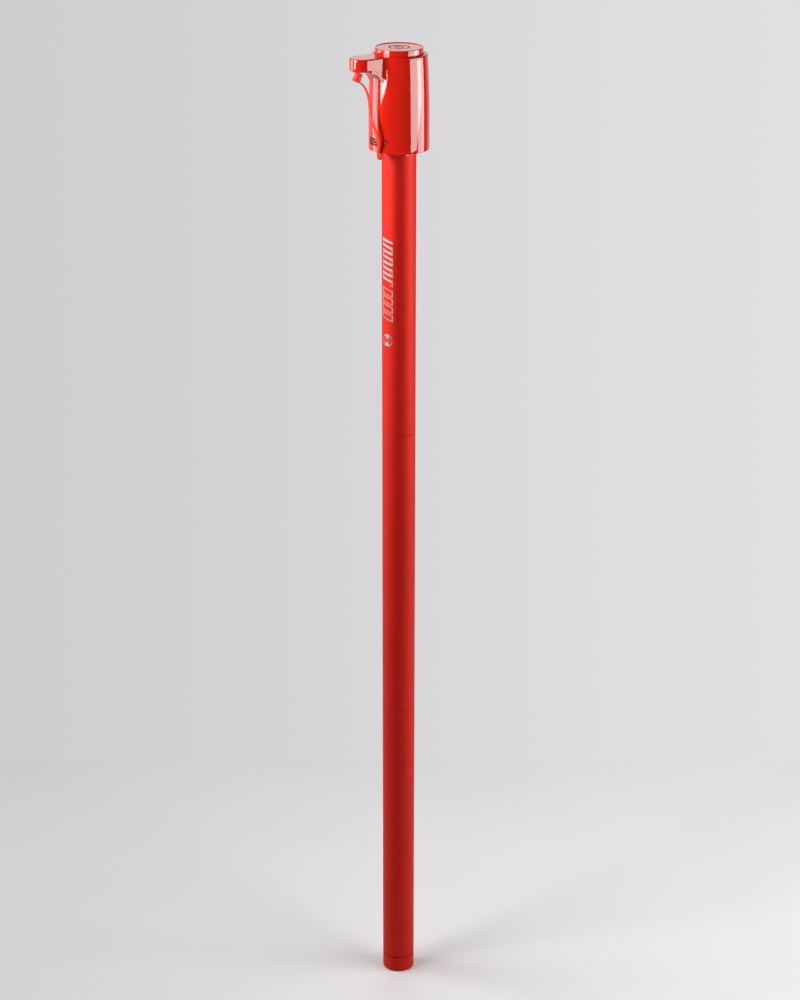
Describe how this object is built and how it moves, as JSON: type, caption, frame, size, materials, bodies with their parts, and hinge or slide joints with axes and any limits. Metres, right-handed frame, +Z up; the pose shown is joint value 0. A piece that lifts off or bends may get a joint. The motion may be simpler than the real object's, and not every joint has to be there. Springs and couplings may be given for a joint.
{
  "type": "stick drink dispenser",
  "caption": "Tall slim tube-shaped drink dispenser in screwed sections, with a push-button pump head, side spout and tethered stopper.",
  "frame": {"origin": "centre of the base cap's flat underside, on the axis of the tube", "axes": "+Z up along the tube, -Y towards the spout, +X to the right seen from the spout's side"},
  "size_m": [0.0666, 0.0945, 1.148],
  "materials": {
    "red_aluminium": "satin red anodised coating",
    "gloss_red_plastic": "polished",
    "red_silicone": "semi-matte",
    "white_plastic": "moulded",
    "clear_plastic": "translucent",
    "black_rubber": "matte",
    "steel": "bright zinc"
  },
  "bodies": {
    "base": {"base_cap": "red_aluminium", "base_o_ring": "black_rubber"},
    "lower_section": {"lower_tube": "red_aluminium", "lower_tube_base_socket": "white_plastic", "lower_tube_top_socket": "white_plastic"},
    "middle_section": {"middle_tube": "red_aluminium", "middle_tube_spigot": "white_plastic", "middle_tube_o_ring": "black_rubber", "middle_tube_top_socket": "white_plastic"},
    "upper_section": {"upper_tube": "red_aluminium", "upper_tube_spigot": "white_plastic", "upper_tube_o_ring": "black_rubber", "neck_insert": "white_plastic"},
    "gasket": {"neck_gasket": "black_rubber"},
    "head": {"head_shell": "gloss_red_plastic", "spout_cover": "gloss_red_plastic", "base_ring": "gloss_red_plastic", "nozzle": "white_plastic", "stopper_strap": "red_silicone", "strap_anchor": "red_silicone", "pump_base": "white_plastic", "chassis_screw_1": "steel", "chassis_screw_2": "steel", "chassis_screw_3": "steel", "bellows_seat": "white_plastic", "bellows": "black_rubber", "return_spring": "steel", "dip_tube": "clear_plastic", "dip_tube_foot": "white_plastic", "riser_elbow": "white_plastic", "outlet_hose": "clear_plastic"},
    "button": {"push_button": "gloss_red_plastic", "button_badge": "gloss_red_plastic", "bellows_plate": "white_plastic", "vent_valve": "black_rubber"},
    "stopper": {"stopper": "red_silicone"}
  },
  "joints": [
    {"name": "base_separation", "type": "slide", "parent": "base", "child": "lower_section", "axis": [0, 0, 1], "range_m": [0, 0.025]},
    {"name": "lower_seam_separation", "type": "slide", "parent": "lower_section", "child": "middle_section", "axis": [0, 0, 1], "range_m": [0, 0.03]},
    {"name": "upper_seam_separation", "type": "slide", "parent": "middle_section", "child": "upper_section", "axis": [0, 0, 1], "range_m": [0, 0.03]},
    {"name": "head_lift", "type": "slide", "parent": "upper_section", "child": "gasket", "axis": [0, 0, 1], "range_m": [0, 1.07]},
    {"name": "head_unscrew", "type": "hinge", "parent": "gasket", "child": "head", "pos_m": [0, 0, 1.06], "axis": [0, 0, 1], "range_deg": [0, 720]},
    {"name": "button_press", "type": "slide", "parent": "head", "child": "button", "axis": [0, 0, -1], "range_m": [0, 0.014], "stiffness_N_per_m": 600, "springref_m": -0.01, "deforming": ["bellows", "return_spring"]},
    {"name": "stopper_pull", "type": "slide", "parent": "head", "child": "stopper", "axis": [0, -0.4067, -0.9136], "range_m": [0, 0.012], "deforming": ["stopper_strap"]}
  ]
}
